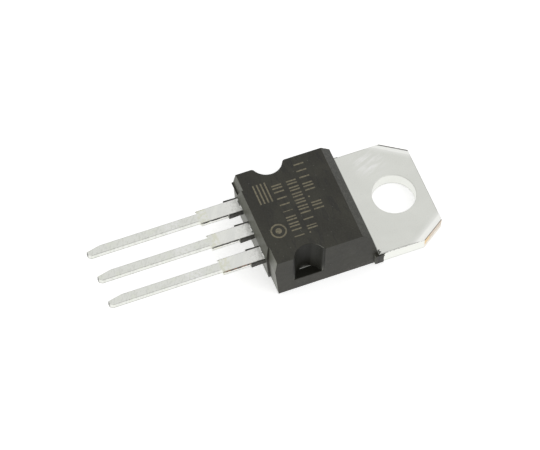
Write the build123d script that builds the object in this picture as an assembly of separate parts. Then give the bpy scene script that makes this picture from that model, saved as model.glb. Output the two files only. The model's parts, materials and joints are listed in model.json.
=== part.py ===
"""A power transistor in a three-lead, screw-tab plastic package, built piece by piece, in millimetres.

Frame: the origin is the centre of the mounting hole on the flat back of the heat tab. +Z points out of
the front, +Y points to the free end of the tab and the leads point to -Y. Seen from the front with the
leads down, the gate lead is on the left (-X), the drain in the middle and the source on the right (+X).
"""

from build123d import *

import os
from math import radians, tan

# Heat tab and die pad: the thick part of the copper strip
tab_width = 10.24
tab_thickness = 1.27
tab_exposed_length = 6.33
tab_edge_radius = 0.06
hole_radius = 1.9
hole_to_tab_end = 2.83
corner_cut_along_end = 1.37
corner_cut_along_side = 2.08
corner_bevel_width = 0.5
corner_bevel_drop = 0.1
pad_width = 8.14
pad_length = 6.9
pad_lock_step_width = 0.35
pad_lock_step_height = 0.4
lock_groove_width = 0.6
lock_groove_depth = 0.22
lock_groove_from_wall = 1.1

# Leads: the thin part of the same strip
lead_pitch = 2.54
lead_thickness = 0.56
lead_width = 0.78
lead_underside_height = 2.68
lead_length = 13.7
lead_edge_radius = 0.05
shoulder_width = 1.28
shoulder_length = 3.74
shoulder_step_radius = 0.1
tip_long_taper_length = 1.2
tip_long_taper_width = 0.26
tip_long_taper_radius = 2.0
tip_short_taper_length = 0.28
tip_short_taper_width = 0.2
lead_root_length = 0.65
paddle_width = 2.6
paddle_length = 0.95
paddle_corner_radius = 0.2
paddle_outward_offset = 0.15
neck_flat_beyond_pad = 0.55
neck_run = 1.05
neck_bend_radius = 0.4

# Moulding
body_base_width = 10.0
body_base_length = 9.0
body_height = 4.45
body_edge_radius = 0.08
side_draft_degrees = 3.9
end_wall_height = 3.62
end_wall_setback = 0.6
top_chamfer_length = 0.9
lead_end_overhang = 0.35
lead_end_top_setback = 0.14
boss_width_at_base = 6.4
boss_width_at_parting = 6.76
boss_width_at_top = 6.0
boss_projection_at_base = 0.2
boss_projection_at_parting = 0.25
boss_projection_at_top = 0.14
boss_root = 0.4
notch_radius = 1.2
notch_axis_outside_base = 0.15
notch_from_end_wall = 6.3
notch_lip_radius = 0.3
lug_length = 0.44
lug_height = 1.15
lug_wall = 0.09
lug_root = 0.3
flash_length = 1.25
flash_thickness_at_body = 0.07
flash_thickness_at_end = 0.13
fin_length = 0.15
fin_thickness = 0.08
fin_root = 0.1

# Chip, solder and bond wires
die_length = 2.6
die_width = 2.2
die_thickness = 0.28
die_from_end_wall = 3.9
solder_thickness = 0.05
solder_margin = 0.12
source_wire_diameter = 0.38
source_wire_foot = 0.45
source_pad_offset = 0.3
gate_wire_diameter = 0.125
gate_wire_foot = 0.25
gate_pad_inset = 0.35
wire_flattening = 0.15
wire_crown_height = 3.72
wire_crown_share = 0.45
wire_bend_radius = 0.5

# Places that follow from the sizes above
wall_foot_y = hole_to_tab_end - tab_exposed_length
pad_end_y = wall_foot_y - pad_length
corner_end_y = wall_foot_y - body_base_length
parting_height = lead_underside_height + lead_thickness
corner_parting_y = corner_end_y - lead_end_overhang
boss_face_y = corner_parting_y - boss_projection_at_parting
tip_y = boss_face_y - lead_length
shoulder_end_y = boss_face_y - shoulder_length
root_y = boss_face_y + lead_root_length
paddle_y = root_y + paddle_length / 2
notch_y = wall_foot_y - notch_from_end_wall
side_slope = tan(radians(side_draft_degrees))
solder_top = tab_thickness + solder_thickness
die_top = solder_top + die_thickness
die_y = wall_foot_y - die_from_end_wall


def both_sides(shape):
    """The shape and its mirror image across the middle plane."""
    return [shape, mirror(shape, about=Plane.YZ)]


def along_x(points, width):
    """A solid with the given (y, z) outline, width wide and centred on the middle plane."""
    outline = make_face(Polyline(*[(0, y, z) for y, z in points], close=True))
    return extrude(outline, amount=width / 2, both=True)


def along_y(points, y_low, y_high):
    """A solid with the given (x, z) outline, from y_low to y_high."""
    outline = make_face(Polyline(*[(x, y_low, z) for x, z in points], close=True))
    return extrude(outline, amount=y_high - y_low, dir=(0, 1, 0))


def along_z(points, z_low, z_high):
    """A solid with the given (x, y) outline, from z_low to z_high."""
    outline = make_face(Polyline(*[(x, y, z_low) for x, y in points], close=True))
    return extrude(outline, amount=z_high - z_low)


def box_between(low, high):
    """A box from its lowest corner to its highest corner."""
    centre = [(a + b) / 2 for a, b in zip(low, high)]
    return Pos(*centre) * Box(*[b - a for a, b in zip(low, high)])


def edges_at_height(shape, height):
    """The edges that lie flat at the given height."""
    return [
        edge
        for edge in shape.edges()
        if abs(edge.bounding_box().min.Z - height) < 1e-5 and abs(edge.bounding_box().max.Z - height) < 1e-5
    ]


# ---------------------------------------------------------------- copper


def exposed_tab():
    """The tab outside the moulding: sheared corners, a shallow coined bevel along each, and the hole."""
    half = tab_width / 2
    cut_x = half - corner_cut_along_end
    cut_y = hole_to_tab_end - corner_cut_along_side
    plate = box_between((-half, wall_foot_y, 0), (half, hole_to_tab_end, tab_thickness))
    rolled = [e for e in edges_at_height(plate, tab_thickness) if e.center().Y > wall_foot_y + tab_edge_radius]
    plate = fillet(rolled, tab_edge_radius)

    corner = along_z([(half, cut_y), (cut_x, hole_to_tab_end), (tab_width, tab_width)], 0, 2 * tab_thickness)
    cut_line = Vector(cut_x - half, corner_cut_along_side, 0)
    inward = Vector(-corner_cut_along_side, -corner_cut_along_end, 0).normalized() * corner_bevel_width
    start = Vector(half, cut_y, tab_thickness) - cut_line
    slope = inward + Vector(0, 0, corner_bevel_drop)
    low_point = start - Vector(0, 0, corner_bevel_drop) - slope
    high_point = start - inward + Vector(0, 0, tab_thickness)
    section = make_face(Polyline(start + inward, low_point, high_point, close=True))
    bevel = extrude(section, amount=3 * cut_line.length, dir=cut_line.normalized())

    hole = Cylinder(hole_radius, 4 * tab_thickness)
    plate = plate - both_sides(corner) - both_sides(bevel) - hole
    rim = [e for e in edges_at_height(plate, tab_thickness) if e.geom_type == GeomType.CIRCLE]
    return fillet(rim, tab_edge_radius)


def die_pad():
    """The pad inside the moulding: its back is stepped in, so the plastic grips it, and its top is grooved."""
    half = pad_width / 2
    step = pad_lock_step_width
    upper = box_between((-half, pad_end_y, pad_lock_step_height), (half, wall_foot_y, tab_thickness))
    lower = box_between((step - half, pad_end_y + step, 0), (half - step, wall_foot_y, pad_lock_step_height))
    groove_y = wall_foot_y - lock_groove_from_wall
    groove = [
        (groove_y - lock_groove_width / 2, tab_thickness),
        (groove_y, tab_thickness - lock_groove_depth),
        (groove_y + lock_groove_width / 2, tab_thickness),
    ]
    return upper + lower - along_x(groove, pad_width)


def lead_outside(x):
    """The lead from the moulding to its tip: wide shoulder, narrow shank, and a tip trimmed unevenly."""
    half = lead_width / 2
    shoulder = shoulder_width / 2
    outline = [
        (x - shoulder, boss_face_y),
        (x - shoulder, shoulder_end_y),
        (x - half, shoulder_end_y),
        (x - half, tip_y + tip_long_taper_length),
        (x - half + tip_long_taper_width, tip_y),
        (x + half - tip_short_taper_width, tip_y),
        (x + half, tip_y + tip_short_taper_length),
        (x + half, shoulder_end_y),
        (x + shoulder, shoulder_end_y),
        (x + shoulder, boss_face_y),
    ]
    face = make_face(Polyline(*[(px, py, lead_underside_height) for px, py in outline], close=True))
    steps = [v for v in face.vertices() if abs(v.Y - shoulder_end_y) < 1e-6]
    face = fillet(steps, shoulder_step_radius)
    taper = [v for v in face.vertices() if abs(v.Y - tip_y - tip_long_taper_length) < 1e-6]
    face = fillet(taper, tip_long_taper_radius)
    lead = extrude(face, amount=lead_thickness)
    rims = edges_at_height(lead, lead_underside_height) + edges_at_height(lead, parting_height)
    return fillet([e for e in rims if e.center().Y < boss_face_y - 1e-6], lead_edge_radius)


def drain_neck():
    """The bent strip that climbs from the die pad to the middle lead."""
    pad_level = tab_thickness - lead_thickness / 2
    lead_level = lead_underside_height + lead_thickness / 2
    foot_y = pad_end_y - neck_flat_beyond_pad
    path = FilletPolyline(
        (0, pad_end_y + neck_flat_beyond_pad, pad_level),
        (0, foot_y, pad_level),
        (0, foot_y - neck_run, lead_level),
        (0, boss_face_y, lead_level),
        radius=neck_bend_radius,
    )
    section = Plane(origin=path @ 0, x_dir=(1, 0, 0), z_dir=path % 0) * Rectangle(shoulder_width, lead_thickness)
    return sweep(section, path=path)


def heat_tab_and_drain_lead():
    """Tab, die pad, neck and middle lead, stamped from one strip."""
    return exposed_tab() + die_pad() + drain_neck() + lead_outside(0)


def outer_lead(side):
    """The gate lead (side -1) or the source lead (side +1), with its bonding paddle inside the moulding."""
    x = side * lead_pitch
    paddle_x = x + side * paddle_outward_offset
    root = box_between(
        (x - shoulder_width / 2, boss_face_y, lead_underside_height),
        (x + shoulder_width / 2, root_y, parting_height),
    )
    paddle = box_between(
        (paddle_x - paddle_width / 2, root_y, lead_underside_height),
        (paddle_x + paddle_width / 2, root_y + paddle_length, parting_height),
    )
    paddle = fillet(paddle.edges().filter_by(Axis.Z), paddle_corner_radius)
    return lead_outside(x) + root + paddle


# ---------------------------------------------------------------- chip and bonds


def die_attach_solder():
    """The thin solder layer between the die pad and the chip."""
    size = (die_length + 2 * solder_margin, die_width + 2 * solder_margin, solder_thickness)
    return Pos(0, die_y, tab_thickness + solder_thickness / 2) * Box(*size)


def silicon_die():
    """The chip."""
    return Pos(0, die_y, solder_top + die_thickness / 2) * Box(die_length, die_width, die_thickness)


def bond_wire(start, end, diameter, foot):
    """A wire from one pad to another: flat feet, a steep rise from the chip and a long run to the lead."""
    seat = Vector(0, 0, diameter * (0.5 - wire_flattening))
    first = Vector(*start) + seat
    last = Vector(*end) + seat
    run = Vector(last.X - first.X, last.Y - first.Y, 0)
    crown = first + run * wire_crown_share
    along = run.normalized() * foot
    points = [first - along, first + along, (crown.X, crown.Y, wire_crown_height), last - along, last + along]
    path = FilletPolyline(*points, radius=wire_bend_radius)
    section = Plane(origin=path @ 0, z_dir=path % 0) * Circle(diameter / 2)
    return sweep(section, path=path)


def source_bond_wire(die, source_lead):
    """The thick wire that carries the source current, its feet pressed flat on chip and paddle."""
    start = (source_pad_offset, die_y, die_top)
    end = (lead_pitch, paddle_y, parting_height)
    wire = bond_wire(start, end, source_wire_diameter, source_wire_foot)
    return wire - die - source_lead


def gate_bond_wire(die, gate_lead):
    """The thin wire to the gate."""
    start = (gate_pad_inset - die_length / 2, die_y - die_width / 2 + gate_pad_inset, die_top)
    end = (-lead_pitch, paddle_y, parting_height)
    wire = bond_wire(start, end, gate_wire_diameter, gate_wire_foot)
    return wire - die - gate_lead


# ---------------------------------------------------------------- moulding


def body_block():
    """The block with drafted sides, two-way drafted lead end, steep end wall and top chamfer."""
    base = body_base_width / 2
    top = base - body_height * side_slope
    front = corner_parting_y - body_height
    back = wall_foot_y + body_height
    sides = along_y([(-base, 0), (base, 0), (top, body_height), (-top, body_height)], front, back)
    chamfer_foot_y = wall_foot_y - end_wall_setback
    outline = [
        (corner_end_y, 0),
        (wall_foot_y, 0),
        (wall_foot_y, tab_thickness),
        (chamfer_foot_y, end_wall_height),
        (chamfer_foot_y - top_chamfer_length, body_height),
        (corner_parting_y + lead_end_top_setback, body_height),
        (corner_parting_y, parting_height),
    ]
    return sides & along_x(outline, 2 * body_base_width)


def lead_boss():
    """The middle of the lead end, standing a little proud of the two corners beside it."""
    inner_y = corner_end_y + boss_root
    depth = [
        (inner_y, 0),
        (corner_end_y - boss_projection_at_base, 0),
        (boss_face_y, parting_height),
        (corner_parting_y + lead_end_top_setback - boss_projection_at_top, body_height),
        (inner_y, body_height),
    ]
    width = [
        (-boss_width_at_base / 2, 0),
        (boss_width_at_base / 2, 0),
        (boss_width_at_parting / 2, parting_height),
        (boss_width_at_top / 2, body_height),
        (-boss_width_at_top / 2, body_height),
        (-boss_width_at_parting / 2, parting_height),
    ]
    return along_x(depth, boss_width_at_parting) & along_y(width, boss_face_y, inner_y)


def clamp_notch():
    """The half-round notch in the +X side, open at the top and floored level with the tab's front."""
    depth = body_height - tab_thickness + notch_radius
    cone = Cone(notch_radius, notch_radius + depth * side_slope, depth, align=(Align.CENTER, Align.CENTER, Align.MIN))
    return Pos(body_base_width / 2 + notch_axis_outside_base, notch_y, tab_thickness) * cone


def shaped_block():
    """Block and boss with the notches cut, their upright lips rounded and the top rim eased."""
    block = body_block() + lead_boss() - both_sides(clamp_notch())
    lips = [e for e in block.edges() if e.geom_type not in (GeomType.LINE, GeomType.CIRCLE)]
    block = fillet(lips, notch_lip_radius)
    return fillet(edges_at_height(block, body_height), body_edge_radius)


def tab_lug():
    """The small lug that wraps the +X side of the tab where it leaves the moulding."""
    outer = tab_width / 2 + lug_wall
    low = (body_base_width / 2 - lug_root, wall_foot_y - lug_root, 0)
    return box_between(low, (outer, wall_foot_y + lug_length, lug_height))


def lead_flash(x):
    """The two strips of thin flash that cling to a lead's sides next to the boss."""
    inner_y = boss_face_y + flash_length / 4
    outer_y = boss_face_y - flash_length
    side = x + shoulder_width / 2
    strip = [
        (side, inner_y),
        (side, outer_y),
        (side + flash_thickness_at_end, outer_y),
        (side + flash_thickness_at_body, inner_y),
    ]
    right = along_z(strip, lead_underside_height, parting_height)
    return [right, mirror(right, about=Plane.YZ.offset(x))]


def parting_fin():
    """The thin fin of flash along the parting line at the gate-side corner."""
    side_x = parting_height * side_slope - body_base_width / 2
    low = (side_x, corner_parting_y - fin_length, parting_height - fin_thickness)
    high = (fin_root - boss_width_at_parting / 2, corner_parting_y + fin_root, parting_height)
    return box_between(low, high)


def moulded_body(embedded):
    """The whole moulding in one piece, with a space of exactly their shape for the pieces it holds."""
    body = shaped_block() + both_sides(tab_lug()) + parting_fin()
    for x in (-lead_pitch, 0, lead_pitch):
        body += lead_flash(x)
    return body - embedded


# ---------------------------------------------------------------- assembly


def build_pieces():
    """Every piece of the transistor, by name."""
    tab = heat_tab_and_drain_lead()
    gate = outer_lead(-1)
    source = outer_lead(1)
    solder = die_attach_solder()
    die = silicon_die()
    gate_wire = gate_bond_wire(die, gate)
    source_wire = source_bond_wire(die, source)
    pieces = {
        "heat_tab_and_drain_lead": tab,
        "gate_lead": gate,
        "source_lead": source,
        "die_attach_solder": solder,
        "silicon_die": die,
        "gate_bond_wire": gate_wire,
        "source_bond_wire": source_wire,
    }
    pieces["moulded_body"] = moulded_body(list(pieces.values()))
    return pieces


def main():
    os.makedirs("parts", exist_ok=True)
    for name, piece in build_pieces().items():
        export_step(piece, f"parts/{name}.step")
        print(name, "volume", round(piece.volume, 3))


main()
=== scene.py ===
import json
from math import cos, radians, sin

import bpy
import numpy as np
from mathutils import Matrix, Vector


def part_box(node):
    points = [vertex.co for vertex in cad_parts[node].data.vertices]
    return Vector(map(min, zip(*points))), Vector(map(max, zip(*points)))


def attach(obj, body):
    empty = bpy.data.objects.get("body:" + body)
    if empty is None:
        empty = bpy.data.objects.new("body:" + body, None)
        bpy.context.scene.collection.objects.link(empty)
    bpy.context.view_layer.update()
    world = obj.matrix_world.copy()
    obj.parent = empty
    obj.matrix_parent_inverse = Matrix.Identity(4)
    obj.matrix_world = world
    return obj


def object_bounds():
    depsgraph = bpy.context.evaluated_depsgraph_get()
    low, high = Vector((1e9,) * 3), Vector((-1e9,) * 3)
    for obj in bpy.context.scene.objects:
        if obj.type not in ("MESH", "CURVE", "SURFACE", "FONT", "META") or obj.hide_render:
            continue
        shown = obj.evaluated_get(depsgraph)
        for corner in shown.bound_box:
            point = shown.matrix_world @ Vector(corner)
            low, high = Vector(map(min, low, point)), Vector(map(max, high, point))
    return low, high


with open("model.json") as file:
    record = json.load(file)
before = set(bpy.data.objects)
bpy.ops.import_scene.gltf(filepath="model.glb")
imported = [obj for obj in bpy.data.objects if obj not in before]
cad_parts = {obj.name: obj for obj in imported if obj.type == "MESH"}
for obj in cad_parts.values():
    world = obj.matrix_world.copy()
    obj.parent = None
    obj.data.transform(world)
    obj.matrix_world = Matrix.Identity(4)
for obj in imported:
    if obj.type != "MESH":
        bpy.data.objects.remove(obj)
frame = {"nodes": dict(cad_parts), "record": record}

# The looks of a power transistor in a three-lead, screw-tab package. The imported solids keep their
# shape, and get their finishes here: moulding compound with laser marks, matt tin over copper,
# silicon, solder and wire. The burrs and crumbs that the press and the mould leave behind are added
# as pieces of their own.
# Objects are in metres. The sizes below and the patterns inside the materials are in millimetres,
# measured from the middle of the tab's hole, unless a comment says otherwise.

CAD_LOW, CAD_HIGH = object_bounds()
MM = 0.001

# ---------------------------------------------------------------- sizes of the part

# Boxes and mounts come from the frame, and a size written out here is the part's own design size
NODES = frame["nodes"]
BODY_LOW, BODY_HIGH = (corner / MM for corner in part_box("moulded_body"))
TAB_LOW, TAB_HIGH = (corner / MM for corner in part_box("heat_tab_and_drain_lead"))
MOUNTS = {mount["name"]: mount for mount in frame["record"]["mounts"]}
LEAD_ENDS = ("gate_lead_end", "drain_lead_end", "source_lead_end")
LEAD_PLACES = [MOUNTS[name]["pos_m"][0] / MM for name in LEAD_ENDS]

TOP = BODY_HIGH.z
LEAD_TOP = TAB_HIGH.z
LEAD_THICKNESS = 0.56
LEAD_UNDERSIDE = LEAD_TOP - LEAD_THICKNESS
LEAD_PITCH = LEAD_PLACES[2] - LEAD_PLACES[1]
TIP_Y = TAB_LOW.y
SHOULDER_HALF = 0.64
SHOULDER_END_Y = -16.84
FLASH_END_Y = BODY_LOW.y
BOSS_Y = FLASH_END_Y + 1.25
WALL_Y = -3.5
TAB_THICKNESS = 1.27
TAB_HALF = TAB_HIGH.x
TAB_END_Y = TAB_HIGH.y
CORNER_CUT_ALONG_END = 1.37
CORNER_CUT_ALONG_SIDE = 2.08
CORNER_BEVEL_WIDTH = 0.5
SHANK_HALF = 0.39
LUG_LENGTH = 0.44


# ---------------------------------------------------------------- node helpers


class Finish:
    """One material, built from nodes. An input is a number, a colour or another node's output."""

    def __init__(self, name):
        self.material = bpy.data.materials.new(name)
        self.material.use_nodes = True
        self.tree = self.material.node_tree
        self.tree.nodes.clear()
        output = self.tree.nodes.new("ShaderNodeOutputMaterial")
        self.surface = self.tree.nodes.new("ShaderNodeBsdfPrincipled")
        self.tree.links.new(self.surface.outputs["BSDF"], output.inputs["Surface"])
        place = self.tree.nodes.new("ShaderNodeTexCoord")
        self.place = self.vector("SCALE", place.outputs["Object"], scale=1 / MM)
        self.x, self.y, self.z = self.split(self.place)
        self.normal_x, self.normal_y, self.normal_z = self.split(place.outputs["Normal"])

    def feed(self, socket, value):
        """Links an output to a socket, or sets the socket to a constant."""
        if isinstance(value, bpy.types.NodeSocket):
            self.tree.links.new(value, socket)
        elif isinstance(value, tuple) and len(value) == 3 and socket.type == "RGBA":
            socket.default_value = (*value, 1)
        else:
            socket.default_value = value

    def node(self, kind, inputs, **settings):
        """The first output of a new node with these inputs and settings."""
        made = self.tree.nodes.new(kind)
        for key, value in settings.items():
            setattr(made, key, value)
        for key, value in inputs.items():
            self.feed(made.inputs[key], value)
        return made.outputs[0]

    def set(self, **inputs):
        """Feeds the surface shader's sockets, named with _ for each space."""
        for key, value in inputs.items():
            self.feed(self.surface.inputs[key.replace("_", " ")], value)

    def math(self, operation, a, b=0.0, c=0.0, clamp=False):
        """One sum on numbers; MULTIPLY_ADD is a * b + c."""
        inputs = {0: a, 1: b, 2: c}
        return self.node("ShaderNodeMath", inputs, operation=operation, use_clamp=clamp)

    def vector(self, operation, a, b=(0, 0, 0), scale=1.0):
        """One sum on places; DISTANCE gives a number."""
        made = self.tree.nodes.new("ShaderNodeVectorMath")
        made.operation = operation
        self.feed(made.inputs[0], a)
        self.feed(made.inputs[1], b)
        made.inputs[3].default_value = scale
        return made.outputs["Value" if operation == "DISTANCE" else "Vector"]

    def split(self, value):
        """The x, y and z of a place."""
        made = self.tree.nodes.new("ShaderNodeSeparateXYZ")
        self.feed(made.inputs[0], value)
        return made.outputs

    def step(self, value, low, high):
        """0 at low, 1 at high and a smooth change between; low may be the larger of the two."""
        inputs = {"Value": value, "From Min": low, "From Max": high}
        return self.node("ShaderNodeMapRange", inputs, interpolation_type="SMOOTHSTEP")

    def spread(self, value, low, high):
        """A 0 to 1 value laid over low to high."""
        return self.node("ShaderNodeMapRange", {"Value": value, "To Min": low, "To Max": high})

    def band(self, value, low, high, soft):
        """1 between low and high, falling to 0 within soft outside them."""
        return self.both(self.step(value, low - soft, low), self.step(value, high + soft, high))

    def both(self, *masks):
        """The product of the masks."""
        total = masks[0]
        for mask in masks[1:]:
            total = self.math("MULTIPLY", total, mask)
        return total

    def either(self, *masks):
        """The largest of the masks."""
        total = masks[0]
        for mask in masks[1:]:
            total = self.math("MAXIMUM", total, mask)
        return total

    def mix(self, share, a, b):
        """Colour a, turning to colour b as share goes to 1."""
        made = self.tree.nodes.new("ShaderNodeMix")
        made.data_type = "RGBA"
        for socket, value in ((made.inputs[0], share), (made.inputs[6], a), (made.inputs[7], b)):
            self.feed(socket, value)
        return made.outputs[2]

    def noise(self, per_mm, detail=3.0, roughness=0.55, distortion=0.0, place=None):
        """Soft noise from 0 to 1, with about that many lumps in a millimetre."""
        inputs = {
            "Vector": place or self.place,
            "Scale": per_mm,
            "Detail": detail,
            "Roughness": roughness,
            "Distortion": distortion,
        }
        return self.node("ShaderNodeTexNoise", inputs)

    def cells(self, per_mm):
        """The distance from the middle of the nearest of scattered cells."""
        return self.node("ShaderNodeTexVoronoi", {"Vector": self.place, "Scale": per_mm})

    def stretched(self, x, y, z, place=None):
        """The place with each direction scaled, for a pattern drawn out one way."""
        return self.vector("MULTIPLY", place or self.place, (x, y, z))

    def turned(self, angle):
        """The place turned about the upright axis, by an angle in radians."""
        inputs = {"Vector": self.place, "Angle": angle}
        return self.node("ShaderNodeVectorRotate", inputs, rotation_type="Z_AXIS")

    def part(self, mask, share):
        """The mask at a share of its strength."""
        return self.math("MULTIPLY", mask, share)

    def size_of(self, value):
        """The value without its sign."""
        return self.math("ABSOLUTE", value)

    def relief(self, height, depth_mm, under=None):
        """A normal for relief of that depth, on top of the relief under it."""
        inputs = {"Height": height, "Distance": depth_mm * MM, "Strength": 1.0}
        if under is not None:
            inputs["Normal"] = under
        return self.node("ShaderNodeBump", inputs)

    def eased_edges(self, radius_mm):
        """The normal of the surface with its edges rounded to the radius."""
        made = self.tree.nodes.new("ShaderNodeBevel")
        made.samples = 6
        made.inputs["Radius"].default_value = radius_mm * MM
        return made.outputs["Normal"]


def coat(node, finish):
    """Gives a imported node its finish."""
    for slot in NODES[node].material_slots:
        slot.material = finish.material


# ---------------------------------------------------------------- moulding compound

# Colours, as red, green and blue from 0 to 1
BLACK_DARK = (0.0195, 0.0180, 0.0105)
BLACK_LIGHT = (0.0290, 0.0275, 0.0170)
BLACK_SMEAR = (0.010, 0.009, 0.007)
LEAD_END_LIGHT = (0.185, 0.188, 0.150)
LOW_LEAD_END_LIGHT = (0.225, 0.228, 0.190)
SOURCE_CORNER_LIGHT = (0.300, 0.304, 0.258)
TAB_END_LIGHT = (0.052, 0.053, 0.044)
SPECK = (0.175, 0.178, 0.155)
GRAIN = (0.24, 0.24, 0.21)
WALL_FOOT_SHADE = (0.006, 0.006, 0.005)
NOTCH_SHADE = (0.006, 0.006, 0.003)
LUG_FLECK = (0.14, 0.14, 0.12)
LUG_GAP_SHADE = (0.002, 0.002, 0.002)
MARK_COLOUR = (0.205, 0.182, 0.118)

NOTCH_INNER_X = 3.7
NOTCH_OUTER_X = 4.8
LUG_INNER_X = 5.13
NOTCH_Y = -9.8
NOTCH_HALF = 1.45
MARK_ROWS = (
    {"y": -7.34, "height": 0.86, "spans": ((-3.95, 1.35),), "seed": 3.0},
    {"y": -8.56, "height": 0.86, "spans": ((-2.65, 1.5), (2.1, 3.1)), "seed": 11.0},
    {"y": -9.9, "height": 0.86, "spans": ((-3.0, -0.35), (0.15, 2.8)), "seed": 23.0},
)
MARK_CELL = 0.66
MARK_BLUR = 0.03
MARK_STROKE = 0.11
MARK_FIRST = 0.08
MARK_SECOND = 0.36
MARK_RING_PLACE = (1.75, -11.37)
MARK_RING_RADIUS = 0.68
MARK_DOT_RADIUS = 0.26
MARK_FIELD = (-3.1, -1.15, -12.0, -10.7)
MARK_FIELD_PITCH = 0.34


def stroke_row(finish, row):
    """A row of plain upright strokes: each of its cells holds one stroke, two, or a low dot."""
    cell_place = finish.math("DIVIDE", finish.x, MARK_CELL)
    inside = finish.math("MULTIPLY", finish.math("FRACT", cell_place), MARK_CELL)
    cell = finish.math("ADD", finish.math("FLOOR", cell_place), row["seed"])
    chance = finish.node("ShaderNodeTexWhiteNoise", {"W": cell}, noise_dimensions="1D")
    low = row["y"] - row["height"] / 2
    tall = finish.band(finish.y, low, low + row["height"], MARK_BLUR)
    short = finish.band(finish.y, low, low + MARK_STROKE, MARK_BLUR)
    first = finish.band(inside, MARK_FIRST, MARK_FIRST + MARK_STROKE, 0.02)
    second = finish.band(inside, MARK_SECOND, MARK_SECOND + MARK_STROKE, 0.02)
    paired = finish.both(second, finish.step(chance, 0.34, 0.35))
    dotted = finish.step(chance, 0.84, 0.85)
    not_dotted = finish.math("SUBTRACT", 1.0, dotted)
    strokes = finish.both(tall, finish.either(first, paired), not_dotted)
    dots = finish.both(short, first, dotted)
    spans = finish.either(*[finish.band(finish.x, *span, 0.02) for span in row["spans"]])
    return finish.both(finish.either(strokes, dots), spans)


def laser_marks(finish):
    """Marks on the top face: three rows of strokes, a ring with a dot and a field of lines."""
    rows = [stroke_row(finish, row) for row in MARK_ROWS]
    away = finish.vector("DISTANCE", finish.place, (*MARK_RING_PLACE, TOP))
    ring = finish.band(away, MARK_RING_RADIUS - MARK_STROKE, MARK_RING_RADIUS, MARK_BLUR)
    dot = finish.step(away, MARK_DOT_RADIUS + MARK_BLUR, MARK_DOT_RADIUS)
    x_low, x_high, y_low, y_high = MARK_FIELD
    lines = finish.math("FRACT", finish.math("DIVIDE", finish.y, MARK_FIELD_PITCH))
    hatch = finish.both(
        finish.band(lines, 0.2, 0.5, 0.08),
        finish.band(finish.x, x_low, x_high, MARK_BLUR),
        finish.band(finish.y, y_low, y_high, MARK_BLUR),
    )
    shapes = finish.either(*rows, ring, dot, hatch)
    on_top = finish.step(finish.z, TOP - 0.02, TOP - 0.01)
    worn = finish.spread(finish.noise(7.0, 2.0), -0.2, 1.9)
    return finish.math("MULTIPLY", finish.both(shapes, on_top), worn, clamp=True)


def filled_epoxy(made, lead_end, tab_end):
    """The compound's colour: clouded black and pale filler specks, with painted light on the end
    walls.
    """
    clouds = made.step(made.noise(0.45, 3.0), 0.36, 0.64)
    black = made.mix(clouds, BLACK_DARK, BLACK_LIGHT)
    smears = made.step(made.noise(0.9, 3.0, 0.6, 1.2, made.stretched(0.6, 2.2, 1.0)), 0.52, 0.64)
    smears = made.both(smears, made.step(made.z, TOP - 0.02, TOP - 0.01))
    black = made.mix(made.part(smears, 0.6), black, BLACK_SMEAR)

    # Painted light: the lead-end wall is made paler where it catches light, most of all below the
    # parting line and at the source-side corner, and so is the wall facing the tab
    below_parting = made.both(lead_end, made.step(made.z, LEAD_TOP + 0.1, LEAD_TOP - 0.1))
    source_corner = made.both(lead_end, made.step(made.x, 3.4, 4.6))
    lit_ends = made.mix(made.part(lead_end, 0.8), black, LEAD_END_LIGHT)
    lit_ends = made.mix(below_parting, lit_ends, LOW_LEAD_END_LIGHT)
    lit_ends = made.mix(source_corner, lit_ends, SOURCE_CORNER_LIGHT)
    lit_ends = made.mix(made.part(tab_end, 0.5), lit_ends, TAB_END_LIGHT)

    # The filler shows most where the steel of the mould was rougher: end walls and low on the sides
    upright = made.step(made.normal_z, 0.95, 0.75)
    low_side = made.both(upright, made.step(made.z, 0.9, 0.2), made.step(made.y, -9.0, -5.0))
    specks = made.step(made.noise(6.5, 3.0, 0.7), 0.44, 0.66)
    elsewhere = made.part(made.either(tab_end, low_side), 0.28)
    shown = made.either(made.part(lead_end, 0.9), elsewhere, 0.06)
    return made.mix(made.both(specks, shown), lit_ends, SPECK)


def torn_lugs(made, colour):
    """Pale flecks on the lugs, and a dark ragged line of painted shade in the groove between them
    and the block.
    """
    on_lug = made.step(made.size_of(made.x), LUG_INNER_X, LUG_INNER_X + 0.03)
    torn = made.noise(4.0, 3.0, 0.7)
    shifted = made.math("MULTIPLY_ADD", torn, 0.24, made.y)
    # Painted shade: a dark ragged line in the groove at the inner end of each lug
    gap = made.both(on_lug, made.band(shifted, WALL_Y + 0.08, WALL_Y + 0.16, 0.03))
    flecks = made.both(on_lug, made.step(torn, 0.56, 0.62))
    colour = made.mix(made.part(flecks, 0.7), colour, LUG_FLECK)
    return made.mix(gap, colour, LUG_GAP_SHADE)


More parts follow.
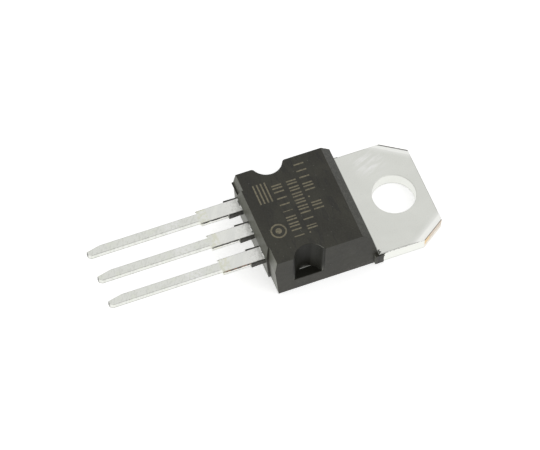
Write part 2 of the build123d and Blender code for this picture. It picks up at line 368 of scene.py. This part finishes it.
def moulding_compound():
    """Black filled epoxy: clouds, specks, a fine spark-eroded texture and laser marks."""
    made = Finish("moulding_compound")
    upright = made.step(made.normal_z, 0.95, 0.75)
    lead_end = made.both(upright, made.step(made.normal_y, -0.3, -0.6))
    tab_end = made.both(upright, made.step(made.normal_y, 0.3, 0.6))
    colour = filled_epoxy(made, lead_end, tab_end)
    # Painted shade: the notches in the sides are darkened, and their gloss weakened, as shade in a
    # recess
    in_notch = made.both(
        made.band(made.size_of(made.x), NOTCH_INNER_X, NOTCH_OUTER_X, 0.1),
        made.band(made.y, NOTCH_Y - NOTCH_HALF, NOTCH_Y + NOTCH_HALF, 0.02),
        made.step(made.z, TOP - 0.01, TOP - 0.06),
    )
    colour = made.mix(made.part(in_notch, 0.9), colour, NOTCH_SHADE)

    # A few larger grains break the surface, and painted shade darkens the foot of the wall along
    # the tab
    grains = made.step(made.cells(1.7), 0.10, 0.05)
    colour = made.mix(made.part(grains, 0.25), colour, GRAIN)
    foot = made.both(tab_end, made.step(made.z, TAB_THICKNESS + 0.16, TAB_THICKNESS + 0.04))
    colour = made.mix(made.both(foot, made.spread(made.noise(4.0), 0.4, 1.0)), colour, WALL_FOOT_SHADE)
    colour = torn_lugs(made, colour)
    colour = made.mix(laser_marks(made), colour, MARK_COLOUR)

    roughness = made.spread(made.noise(2.2, 4.0), 0.40, 0.58)
    gloss = made.math("MULTIPLY_ADD", in_notch, -0.2, 0.5)
    normal = made.relief(made.noise(0.8, 2.0), 0.02, made.eased_edges(0.05))
    normal = made.relief(made.noise(16.0, 2.0, 0.6), 0.006, normal)
    made.set(Base_Color=colour, Roughness=roughness, Specular_IOR_Level=gloss)
    made.set(IOR=1.5, Normal=normal)
    return made


# ---------------------------------------------------------------- tin over copper

# Places along the part where one finish gives way to the next, and where marks lie
LEAD_ZONE_Y = -12.9
TAB_ZONE_Y = -3.6
BLAST_Y = -15.3
PRESS_Y = -16.45
GRIP_Y = -19.2
RIM_INSET = -0.02
SMUDGE_PLACE = (-3.7, -0.9)
# Slants of the frost and of the wiped smudge, in radians
FROST_TURN = 0.5
WIPE_TURN = 1.2

TIN_LIGHT = (0.915, 0.925, 0.872)
TIN_DARK = (0.800, 0.810, 0.758)
TIN_GRAIN = (0.70, 0.71, 0.67)
LEAD_TINT = (0.80, 0.85, 0.66)
SHANK_TIN = (0.965, 0.975, 0.925)
FROST = (0.70, 0.71, 0.66)
SHOULDER_HIGHLIGHT = (0.985, 0.99, 0.945)
SHEEN = (0.82, 0.83, 0.80)
PRESSED_TIN = (0.80, 0.81, 0.64)
UPRIGHT_REFLECTION = (0.96, 0.97, 0.91)
TAB_SIDE_REFLECTION = (0.985, 0.995, 0.935)
BLASTED_TIN = (1.0, 1.0, 0.97)
BLAST_PIT = (0.72, 0.72, 0.67)
GRIPPED_TIN = (0.97, 0.97, 0.95)
RESIN = (0.03, 0.03, 0.028)
LEAD_EDGE = (0.13, 0.13, 0.12)
LEAD_LOW_SHADOW = (0.20, 0.20, 0.18)
SCUFF = (0.90, 0.91, 0.87)
SMUDGE = (0.99, 0.99, 0.97)
TAB_SIDE_LINE = (0.14, 0.14, 0.13)
TAB_RIM_LINE = (0.20, 0.20, 0.19)
TAB_FOOT_SHADE = (0.35, 0.36, 0.33)
WALL_SHADE = (0.06, 0.06, 0.055)
COPPER = (0.93, 0.72, 0.44)
COPPER_PALE = (0.80, 0.70, 0.59)
COPPER_WIPED = (0.95, 0.91, 0.84)
COINED = (0.97, 0.975, 0.935)
BURR_BROWN = (0.16, 0.09, 0.05)
BURR_GREY = (0.045, 0.043, 0.038)
OXIDE = (0.050, 0.045, 0.038)
TORN_COPPER = (0.30, 0.15, 0.08)
TIP_GREY = (0.09, 0.085, 0.075)


def corner_distance(made):
    """How far outside the line of the sheared corners a point lies: negative inside."""
    length = (CORNER_CUT_ALONG_END**2 + CORNER_CUT_ALONG_SIDE**2) ** 0.5
    across = CORNER_CUT_ALONG_SIDE / length
    along = CORNER_CUT_ALONG_END / length
    start = across * TAB_HALF + along * (TAB_END_Y - CORNER_CUT_ALONG_SIDE)
    side = made.math("MULTIPLY", made.size_of(made.x), across)
    return made.math("SUBTRACT", made.math("MULTIPLY_ADD", made.y, along, side), start)


def from_nearest_lead(made):
    """The sideways distance from the middle of the nearest lead."""
    count = made.math("ROUND", made.math("DIVIDE", made.x, LEAD_PITCH))
    nearest = made.math("MULTIPLY", count, LEAD_PITCH)
    return made.size_of(made.math("SUBTRACT", made.x, nearest))


class Zones:
    """Masks and measures that the stages of the tin finish share."""

    def __init__(self, made):
        self.leads = made.step(made.y, LEAD_ZONE_Y, LEAD_ZONE_Y - 0.3)
        self.tab = made.step(made.y, TAB_ZONE_Y, TAB_ZONE_Y + 0.2)
        self.facing_up = made.step(made.normal_z, 0.5, 0.8)
        self.sideways = made.step(made.size_of(made.normal_x), 0.6, 0.8)
        self.from_middle = made.size_of(made.x)
        self.from_lead = from_nearest_lead(made)
        self.ragged = made.noise(3.2, 3.0, 0.7)
        self.grain = made.noise(11.0, 3.0, 0.65)
        self.pits = made.step(made.noise(7.0, 3.0, 0.75), 0.5, 0.62)
        outer = made.step(self.from_middle, TAB_HALF - 0.4, TAB_HALF - 0.3)
        self.outer_side = made.both(self.tab, outer)
        self.blasted = made.both(self.leads, made.step(made.y, BLAST_Y, BLAST_Y + 1.7))
        slant = made.turned(FROST_TURN)
        frost = made.noise(1.0, 3.0, 0.6, 0.0, made.stretched(2.4, 5.0, 1.0, slant))
        self.frosted = made.both(self.leads, made.step(frost, 0.47, 0.62))
        sheen = made.noise(1.0, 2.0, 0.5, 0.5, made.stretched(0.35, 1.1, 1.0, slant))
        self.sheen = made.step(sheen, 0.44, 0.56)
        gripped = made.step(made.noise(5.0, 2.0), 0.46, 0.54)
        self.gripped = made.both(made.band(made.y, GRIP_Y - 0.5, GRIP_Y + 0.4, 0.4), gripped)


def mottled_tin(made, zones):
    """The plating's own colour, with soft clouds and fine grain."""
    clouds = made.noise(0.45, 3.0, 0.5, 0.4)
    tin = made.mix(clouds, TIN_LIGHT, TIN_DARK)
    return made.mix(made.both(made.step(zones.grain, 0.45, 0.75), 0.3), tin, TIN_GRAIN)


def lead_tones(made, zones, tin):
    """Tints and slanting frost along the leads, a painted highlight and sheen on the shoulders, and
    painted reflections on upright faces everywhere.
    """
    tint = made.both(zones.leads, made.step(made.noise(1.3, 2.0), 0.5, 0.72))
    tin = made.mix(made.part(tint, 0.45), tin, LEAD_TINT)
    on_shank = made.both(zones.leads, made.step(made.y, SHOULDER_END_Y + 0.5, SHOULDER_END_Y))
    tin = made.mix(made.part(on_shank, 0.45), tin, SHANK_TIN)
    tin = made.mix(made.part(zones.frosted, 0.36), tin, FROST)
    # Painted highlight on the shoulders, with streaks of painted sheen over it
    rise = made.step(made.y, SHOULDER_END_Y - 0.2, SHOULDER_END_Y + 0.5)
    on_shoulder = made.both(zones.leads, rise)
    tin = made.mix(made.part(on_shoulder, 0.7), tin, SHOULDER_HIGHLIGHT)
    tin = made.mix(made.both(on_shoulder, zones.sheen, 0.45), tin, SHEEN)
    pressed = made.band(made.y, PRESS_Y - 0.35, PRESS_Y + 0.25, 0.25)
    pressed = made.both(pressed, made.step(zones.ragged, 0.42, 0.56))
    tin = made.mix(made.part(pressed, 0.6), tin, PRESSED_TIN)
    # Painted reflection: upright faces, and most of all the tab's outer sides, are made paler as if
    # they mirrored the white floor
    upright = made.step(made.normal_z, 0.3, 0.15)
    tin = made.mix(made.part(upright, 0.25), tin, UPRIGHT_REFLECTION)
    return made.mix(made.both(upright, zones.outer_side, 0.8), tin, TAB_SIDE_REFLECTION)


def lead_marks(made, zones, tin):
    """Blasted ends and resin flecks by the moulding, roll marks, darker lines on the top edges, and
    a painted shadow line low on the sides.
    """
    tin = made.mix(made.both(zones.blasted, 0.6), tin, BLASTED_TIN)
    tin = made.mix(made.both(zones.blasted, zones.pits, 0.45), tin, BLAST_PIT)
    tin = made.mix(made.part(zones.gripped, 0.8), tin, GRIPPED_TIN)
    resin = made.step(made.noise(6.0, 1.0), 0.46, 0.54)
    at_body = made.both(made.step(made.y, BOSS_Y - 0.16, BOSS_Y - 0.04), resin)
    tin = made.mix(made.both(at_body, zones.leads), tin, RESIN)

    widening = made.step(made.y, SHOULDER_END_Y - 0.16, SHOULDER_END_Y)
    half = made.math("MULTIPLY_ADD", widening, SHOULDER_HALF - SHANK_HALF, SHANK_HALF)
    at_edge = made.step(made.math("SUBTRACT", half, zones.from_lead), 0.075, 0.02)
    uneven = made.spread(zones.ragged, 0.1, 1.0)
    edge_line = made.both(zones.leads, zones.facing_up, at_edge, uneven)
    tin = made.mix(made.part(edge_line, 0.8), tin, LEAD_EDGE)
    # Painted shadow: a thin line low on the sides of the leads, just above their underside
    low = made.step(made.z, LEAD_UNDERSIDE + 0.2, LEAD_UNDERSIDE + 0.1)
    low_shadow = made.both(zones.leads, zones.sideways, low)
    return made.mix(made.part(low_shadow, 0.4), tin, LEAD_LOW_SHADOW)


def tab_scuffs(made, zones):
    """Handling scuffs, and a smudge wiped across one corner."""
    scuff = made.noise(0.9, 4.0, 0.6, 0.8, made.stretched(0.55, 2.6, 1.0))
    scuffs = made.both(zones.tab, made.step(scuff, 0.62, 0.74))
    away = made.vector("DISTANCE", made.place, (*SMUDGE_PLACE, TAB_THICKNESS))
    streaks = made.noise(1.0, 3.0, 0.55, 0.3, made.stretched(0.7, 3.2, 1.0, made.turned(WIPE_TURN)))
    smudge = made.both(made.step(away, 1.9, 0.4), made.step(streaks, 0.40, 0.72))
    return scuffs, smudge


def tab_edges(made, zones, tin):
    """Darker lines round the tab under its top edge and on its rim, and painted shade at its foot
    and by the moulding.
    """
    under_edge = made.band(made.z, TAB_THICKNESS - 0.12, TAB_THICKNESS - 0.02, 0.02)
    broken = made.step(zones.ragged, 0.44, 0.54)
    side_line = made.both(zones.outer_side, under_edge, zones.sideways, broken)
    tin = made.mix(made.part(side_line, 0.55), tin, TAB_SIDE_LINE)
    from_side = made.math("SUBTRACT", zones.from_middle, TAB_HALF)
    from_rim = made.either(from_side, made.math("SUBTRACT", made.y, TAB_END_Y))
    at_rim = made.step(from_rim, RIM_INSET - 0.08, RIM_INSET)
    tin = made.mix(made.both(zones.tab, zones.facing_up, at_rim, zones.ragged), tin, TAB_RIM_LINE)
    # Painted shade where the foot of the tab meets the floor
    at_foot = made.both(made.step(made.normal_z, 0.5, 0.3), made.step(made.z, 0.1, 0.03))
    tin = made.mix(made.both(zones.tab, at_foot, 0.65), tin, TAB_FOOT_SHADE)
    # Painted shade on the tab's top where it meets the moulding's wall
    wall_shade = made.both(made.step(made.y, WALL_Y + 0.12, WALL_Y + 0.03), zones.tab, zones.facing_up)
    return made.mix(made.both(wall_shade, made.spread(zones.ragged, 0.2, 1.0)), tin, WALL_SHADE)


def sheared_corners(made, zones, tin):
    """Copper on the cut corners, wiped pale low down, under a burr and a bright coined bevel."""
    beyond = corner_distance(made)
    cut_face = made.both(made.step(beyond, -0.035, -0.02), zones.tab)
    along_cut = made.math("MULTIPLY_ADD", made.noise(2.0, 2.0), 1.2, made.y)
    copper = made.mix(made.step(along_cut, 1.75, 2.1), COPPER, COPPER_PALE)
    lower = made.step(made.math("MULTIPLY_ADD", zones.ragged, 0.5, made.z), 0.95, 0.6)
    tin = made.mix(cut_face, tin, made.mix(lower, copper, COPPER_WIPED))

    on_bevel = made.step(beyond, -CORNER_BEVEL_WIDTH - 0.45, -CORNER_BEVEL_WIDTH + 0.1)
    coined = made.both(on_bevel, zones.tab, zones.facing_up)
    tin = made.mix(coined, tin, COINED)
    gate_side = made.step(made.x, 0.1, -0.1)
    burr_edge = made.math("MULTIPLY_ADD", gate_side, -0.07, -0.05)
    burr_line = made.both(made.step(made.math("SUBTRACT", beyond, burr_edge), -0.03, 0.0), coined)
    burr_colour = made.mix(gate_side, BURR_BROWN, BURR_GREY)
    tin = made.mix(made.both(burr_line, made.spread(zones.ragged, 0.55, 1.0)), tin, burr_colour)
    return tin, cut_face


def cut_leads(made, zones, tin):
    """Dam bars torn from the sides of the shoulders, and tips cut to length."""
    ragged_z = made.math("MULTIPLY_ADD", zones.ragged, -0.3, made.z)
    dam_bar = made.both(
        zones.sideways,
        made.step(zones.from_lead, SHOULDER_HALF - 0.05, SHOULDER_HALF - 0.02),
        made.band(made.y, SHOULDER_END_Y, FLASH_END_Y - 0.1, 0.1),
        made.step(ragged_z, LEAD_TOP - 0.38, LEAD_TOP - 0.32),
    )
    on_source = made.both(made.step(made.x, 1.0, 1.6), made.step(zones.ragged, 0.42, 0.6))
    tin = made.mix(dam_bar, tin, made.mix(on_source, OXIDE, TORN_COPPER))
    at_tip = made.step(made.y, TIP_Y + 0.06, TIP_Y + 0.02)
    tip_face = made.both(at_tip, made.step(made.normal_y, -0.5, -0.8))
    tin = made.mix(made.both(tip_face, made.spread(zones.ragged, 0.5, 1.0)), tin, TIP_GREY)
    return tin, made.either(dam_bar, tip_face)


def tin_relief(made, zones):
    """Rolling lines, waves, grain and pits; the shoulders shade as if they fell to the moulding."""
    rolled = made.noise(1.0, 3.0, 0.5, 0.0, made.stretched(5.0, 0.6, 1.0))
    sloped = made.both(made.band(made.y, SHOULDER_END_Y, BOSS_Y, 0.6), zones.leads)
    along = made.math("ADD", made.y, -SHOULDER_END_Y)
    tilt = made.math("MULTIPLY", along, made.part(sloped, -0.07))
    normal = made.relief(tilt, 1.0, made.eased_edges(0.04))
    normal = made.relief(rolled, 0.0025, normal)
    normal = made.relief(made.noise(0.7, 2.0), 0.014, normal)
    normal = made.relief(zones.grain, 0.0018, normal)
    pitted = made.either(made.both(zones.blasted, zones.pits), zones.gripped)
    return made.relief(pitted, 0.006, normal)


def tin_plating():
    """Matt tin with mottling, grain and handling marks, and copper where it was cut later."""
    made = Finish("tin_plated_copper")
    zones = Zones(made)
    tin = mottled_tin(made, zones)
    tin = lead_tones(made, zones, tin)
    tin = lead_marks(made, zones, tin)
    scuffs, smudge = tab_scuffs(made, zones)
    tin = made.mix(made.part(scuffs, 0.35), tin, SCUFF)
    tin = made.mix(smudge, tin, SMUDGE)
    tin = tab_edges(made, zones, tin)
    tin, cut_corners = sheared_corners(made, zones, tin)
    tin, cut_ends = cut_leads(made, zones, tin)

    rough = made.math("MULTIPLY_ADD", zones.grain, 0.18, 0.22)
    coarse = made.either(cut_corners, cut_ends, zones.frosted)
    rough = made.math("MULTIPLY_ADD", coarse, 0.18, rough)
    rough = made.math("MULTIPLY_ADD", made.either(scuffs, smudge), 0.15, rough)
    made.set(Base_Color=tin, Metallic=1.0, Roughness=rough, Normal=tin_relief(made, zones))
    return made


# ---------------------------------------------------------------- inner pieces

SILICON = (0.16, 0.17, 0.20)
SILICON_GRID = (0.34, 0.33, 0.30)
SOLDER_DARK = (0.34, 0.34, 0.35)
SOLDER_LIGHT = (0.52, 0.52, 0.52)
WIRE_DARK = (0.78, 0.78, 0.79)
WIRE_LIGHT = (0.88, 0.88, 0.88)


def polished_silicon():
    """Polished silicon with the faint grid of the cells on its top."""
    made = Finish("silicon")
    rows = [made.math("FRACT", made.math("MULTIPLY", axis, 9.0)) for axis in (made.x, made.y)]
    grid = made.either(*[made.band(row, 0.0, 0.12, 0.05) for row in rows])
    colour = made.mix(made.part(grid, 0.5), SILICON, SILICON_GRID)
    made.set(Base_Color=colour, Metallic=0.6, Roughness=made.spread(made.noise(3.0), 0.12, 0.25))
    return made


def dull_solder():
    """Dull solder with frosty grains."""
    made = Finish("solder")
    grains = made.cells(12.0)
    colour = made.mix(grains, SOLDER_DARK, SOLDER_LIGHT)
    made.set(Base_Color=colour, Metallic=1.0, Roughness=made.spread(grains, 0.35, 0.6))
    made.set(Normal=made.relief(grains, 0.004))
    return made


def drawn_wire():
    """Bright aluminium wire with fine drawing lines."""
    made = Finish("bond_wire")
    lines = made.noise(20.0, 2.0, 0.6, 0.0, made.stretched(1.0, 0.08, 1.0))
    colour = made.mix(lines, WIRE_DARK, WIRE_LIGHT)
    made.set(Base_Color=colour, Metallic=1.0, Roughness=made.spread(lines, 0.2, 0.34))
    return made


# ---------------------------------------------------------------- burrs and crumbs

BURR_SIZE = (0.06, 0.16, 0.05)
BURR_ALONG = 0.1
BURR_DROP = 0.12
BURR_LEAN = 0.04
CRUMB_SIZE = (0.075, 0.09, 0.085)
CRUMB_MARGIN = 1.5
CRUMB_TOP = 1.15
CRUMBS_ON_LUG = 9
CRUMBS_ON_LEDGE = 6
LUMP_ROUND = 14
LUMP_RINGS = 8


def lump_surfaces(places, sizes, seed):
    """Torn lumps: each is a ball whose radius rises and falls with its turn and its height.

    For turn u and height angle v the point is
        place + size * r * (sin v cos u, sin v sin u, cos v), where
        r = 1 + 0.22 sin(2u + a) sin 2v + 0.16 sin(3u + b) sin v + 0.12 cos(5v + c).
    The angles a, b and c differ per lump. The two poles are single points.
    """
    count = len(places)
    u = np.linspace(0, 2 * np.pi, LUMP_ROUND, endpoint=False)
    v = np.linspace(0, np.pi, LUMP_RINGS + 2)
    turn, height = np.meshgrid(u, v)
    a, b, c = np.random.default_rng(seed).uniform(0, 2 * np.pi, (3, count, 1, 1))
    swell = 1 + 0.22 * np.sin(2 * turn + a) * np.sin(2 * height)
    swell = swell + 0.16 * np.sin(3 * turn + b) * np.sin(height)
    swell = swell + 0.12 * np.cos(5 * height + c)
    level = np.sin(height)
    ball = np.stack((level * np.cos(turn), level * np.sin(turn), np.cos(height)), axis=-1)
    reach = np.asarray(sizes)[:, None, None, :] * swell[..., None]
    points = np.asarray(places)[:, None, None, :] + reach * ball
    rings = points[:, 1:-1].reshape(count, LUMP_RINGS * LUMP_ROUND, 3)
    verts = np.concatenate((points[:, :1, 0], rings, points[:, -1:, 0]), axis=1)

    this = np.arange(LUMP_ROUND)
    after = (this + 1) % LUMP_ROUND
    ring = 1 + LUMP_ROUND * np.arange(LUMP_RINGS - 1)[:, None]
    lower = ring + LUMP_ROUND
    quads = np.stack((ring + this, lower + this, lower + after, ring + after), axis=-1)
    quads = quads.reshape(-1, 4)
    last_ring = 1 + LUMP_ROUND * (LUMP_RINGS - 1)
    bottom = last_ring + LUMP_ROUND
    caps = np.concatenate(
        (
            np.stack((np.zeros_like(this), 1 + this, 1 + after), axis=-1),
            np.stack((np.full_like(this, bottom), last_ring + after, last_ring + this), axis=-1),
        )
    )
    shift = (np.arange(count) * (bottom + 1))[:, None, None]
    quad_faces = (quads[None] + shift).reshape(-1, 4).tolist()
    cap_faces = (caps[None] + shift).reshape(-1, 3).tolist()
    return verts.reshape(-1, 3) * MM, quad_faces + cap_faces


def small_piece(name, places, sizes, seed, finish):
    """A piece made of small lumps, which rides with the part."""
    verts, faces = lump_surfaces(places, sizes, seed)
    mesh = bpy.data.meshes.new(name)
    mesh.from_pydata(verts.tolist(), [], faces)
    mesh.materials.append(finish.material)
    piece = bpy.data.objects.new(name, mesh)
    bpy.context.scene.collection.objects.link(piece)
    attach(piece, "root")


def dam_bar_burrs(finish):
    """Torn burrs at the outer corners of the shoulders, where the dam bars were cut away."""
    places = [
        (
            x + side * SHOULDER_HALF,
            SHOULDER_END_Y + BURR_ALONG,
            LEAD_TOP - BURR_DROP + BURR_LEAN * side,
        )
        for x in LEAD_PLACES
        for side in (-1, 1)
    ]
    sizes = [BURR_SIZE] * len(places)
    small_piece("dam_bar_burrs", places, sizes, 4, finish)


def resin_crumbs(finish):
    """Crumbs of moulding compound round the source-side lug and along the tab beside it."""
    rng = np.random.default_rng(9)
    furthest = (0.02, LUG_LENGTH + 0.06, CRUMB_TOP)
    lug = rng.uniform((-0.02, 0.02, 0.1), furthest, (CRUMBS_ON_LUG, 3))
    lug = lug + (TAB_HALF + 0.07, WALL_Y, 0)
    ledge = rng.uniform((-0.5, 0.0, 0.0), (0.0, 0.18, 0.03), (CRUMBS_ON_LEDGE, 3))
    ledge = ledge + (TAB_HALF, WALL_Y, TAB_THICKNESS)
    places = np.concatenate((lug, ledge))
    sizes = np.asarray(CRUMB_SIZE) * rng.uniform(0.5, 1.2, (len(places), 1))
    high = np.asarray(CAD_HIGH) / MM - sizes * CRUMB_MARGIN
    low = np.asarray(CAD_LOW) / MM + sizes * CRUMB_MARGIN
    places = np.clip(places, low, high)
    small_piece("resin_crumbs", places, sizes, 5, finish)


# ---------------------------------------------------------------- studio

# Angles in degrees, distances in metres, lens in millimetres
CAMERA_AZIMUTH = 65.12
CAMERA_ELEVATION = 58.26
CAMERA_ROLL = 3.6
CAMERA_DISTANCE = 0.3531
CAMERA_AIM = (-0.00088, -0.01098, 0.00119)
CAMERA_LENS = 278.9
# The floor's half width and its gap under the part, in metres, and its strengths as a light
FLOOR_HALF = 0.7
FLOOR_DROP = 0.00002
FLOOR_LIFT = 0.5
FLOOR_MIRRORED = 1.0
# The sky goes from the first strength to the second between these heights of the view direction
SKY_RISE = (0.02, 0.45)
SKY_STRENGTH = (0.25, 0.74)
LAMP_SIZE = 0.35
# Each lamp's name, its place in metres and its power in watts
LAMPS = (
    ("key", (0.45, 0.35, 0.5), 0.5),
    ("overhead", (-0.08, 0.3, 0.7), 0.08),
    ("left", (-0.65, 0.35, 0.36), 0.1),
)


def turned_camera(azimuth, elevation, roll, distance, aim, lens):
    """A camera that looks at aim.

    Azimuth 0 looks along +Y, and a positive roll turns the picture clockwise.
    """
    a, e = radians(azimuth), radians(elevation)
    back = Vector((sin(a) * cos(e), -cos(a) * cos(e), sin(e)))
    right = Vector((cos(a), sin(a), 0))
    up = back.cross(right)
    level = Matrix((right, up, back)).transposed()
    data = bpy.data.cameras.new("camera")
    data.lens = lens
    data.sensor_width = 36
    data.clip_start = 0.01
    data.clip_end = 10
    camera = bpy.data.objects.new("camera", data)
    rolled = level @ Matrix.Rotation(radians(roll), 3, "Z")
    place = Vector(aim) + back * distance
    camera.matrix_world = Matrix.Translation(place) @ rolled.to_4x4()
    bpy.context.scene.collection.objects.link(camera)
    bpy.context.scene.camera = camera


def studio_floor():
    """A wide white sheet just under the part, shadowed softly; reflections see it plain white."""
    signs = ((-1, -1), (1, -1), (1, 1), (-1, 1))
    corners = [(sx * FLOOR_HALF, sy * FLOOR_HALF, -FLOOR_DROP) for sx, sy in signs]
    mesh = bpy.data.meshes.new("floor")
    mesh.from_pydata(corners, [], [(0, 1, 2, 3)])
    floor = bpy.data.objects.new("floor", mesh)
    bpy.context.scene.collection.objects.link(floor)
    material = bpy.data.materials.new("white_sheet")
    material.use_nodes = True
    tree = material.node_tree
    tree.nodes.clear()
    path = tree.nodes.new("ShaderNodeLightPath")
    paper = tree.nodes.new("ShaderNodeBsdfDiffuse")
    paper.inputs["Color"].default_value = (0.9, 0.9, 0.9, 1)
    glow = tree.nodes.new("ShaderNodeEmission")
    lifted = tree.nodes.new("ShaderNodeMath")
    lifted.operation = "MULTIPLY"
    lifted.inputs[1].default_value = FLOOR_LIFT
    seen = tree.nodes.new("ShaderNodeAddShader")
    mirrored = tree.nodes.new("ShaderNodeEmission")
    mirrored.inputs["Strength"].default_value = FLOOR_MIRRORED
    either = tree.nodes.new("ShaderNodeMath")
    either.operation = "MAXIMUM"
    choice = tree.nodes.new("ShaderNodeMixShader")
    output = tree.nodes.new("ShaderNodeOutputMaterial")
    for source, target in (
        (path.outputs["Is Camera Ray"], lifted.inputs[0]),
        (lifted.outputs[0], glow.inputs["Strength"]),
        (paper.outputs[0], seen.inputs[0]),
        (glow.outputs[0], seen.inputs[1]),
        (path.outputs["Is Glossy Ray"], either.inputs[0]),
        (path.outputs["Is Transmission Ray"], either.inputs[1]),
        (either.outputs[0], choice.inputs[0]),
        (seen.outputs[0], choice.inputs[1]),
        (mirrored.outputs[0], choice.inputs[2]),
        (choice.outputs[0], output.inputs["Surface"]),
    ):
        tree.links.new(source, target)
    mesh.materials.append(material)


def studio_sky():
    """Even light from above, dim along the horizon; the camera sees plain white."""
    world = bpy.data.worlds.new("tent")
    bpy.context.scene.world = world
    world.use_nodes = True
    tree = world.node_tree
    tree.nodes.clear()
    direction = tree.nodes.new("ShaderNodeTexCoord")
    split = tree.nodes.new("ShaderNodeSeparateXYZ")
    height = tree.nodes.new("ShaderNodeMapRange")
    height.interpolation_type = "SMOOTHSTEP"
    height.inputs["From Min"].default_value, height.inputs["From Max"].default_value = SKY_RISE
    height.inputs["To Min"].default_value, height.inputs["To Max"].default_value = SKY_STRENGTH
    path = tree.nodes.new("ShaderNodeLightPath")
    seen = tree.nodes.new("ShaderNodeMath")
    seen.operation = "MAXIMUM"
    sky = tree.nodes.new("ShaderNodeBackground")
    sky.inputs["Color"].default_value = (1, 1, 1, 1)
    output = tree.nodes.new("ShaderNodeOutputWorld")
    tree.links.new(direction.outputs["Generated"], split.inputs[0])
    tree.links.new(split.outputs["Z"], height.inputs["Value"])
    tree.links.new(height.outputs[0], seen.inputs[0])
    tree.links.new(path.outputs["Is Camera Ray"], seen.inputs[1])
    tree.links.new(seen.outputs[0], sky.inputs["Strength"])
    tree.links.new(sky.outputs[0], output.inputs["Surface"])


def soft_box(name, place, size, power, aim=(0, -0.01, 0)):
    """A square area light at a place, turned to the part."""
    data = bpy.data.lights.new(name, "AREA")
    data.size = size
    data.energy = power
    light = bpy.data.objects.new(name, data)
    towards = Vector(aim) - Vector(place)
    light.location = place
    light.rotation_euler = towards.to_track_quat("-Z", "Y").to_euler()
    bpy.context.scene.collection.objects.link(light)


# ---------------------------------------------------------------- everything together

compound = moulding_compound()
plating = tin_plating()
coat("moulded_body", compound)
for name in ("heat_tab_and_drain_lead", "gate_lead", "source_lead"):
    coat(name, plating)
coat("silicon_die", polished_silicon())
coat("die_attach_solder", dull_solder())
wire = drawn_wire()
for name in ("gate_bond_wire", "source_bond_wire"):
    coat(name, wire)

dam_bar_burrs(plating)
resin_crumbs(compound)

studio_floor()
studio_sky()
for name, place, power in LAMPS:
    soft_box(name, place, LAMP_SIZE, power)
turned_camera(
    CAMERA_AZIMUTH,
    CAMERA_ELEVATION,
    CAMERA_ROLL,
    CAMERA_DISTANCE,
    CAMERA_AIM,
    CAMERA_LENS,
)
bpy.context.scene.view_settings.view_transform = "Standard"
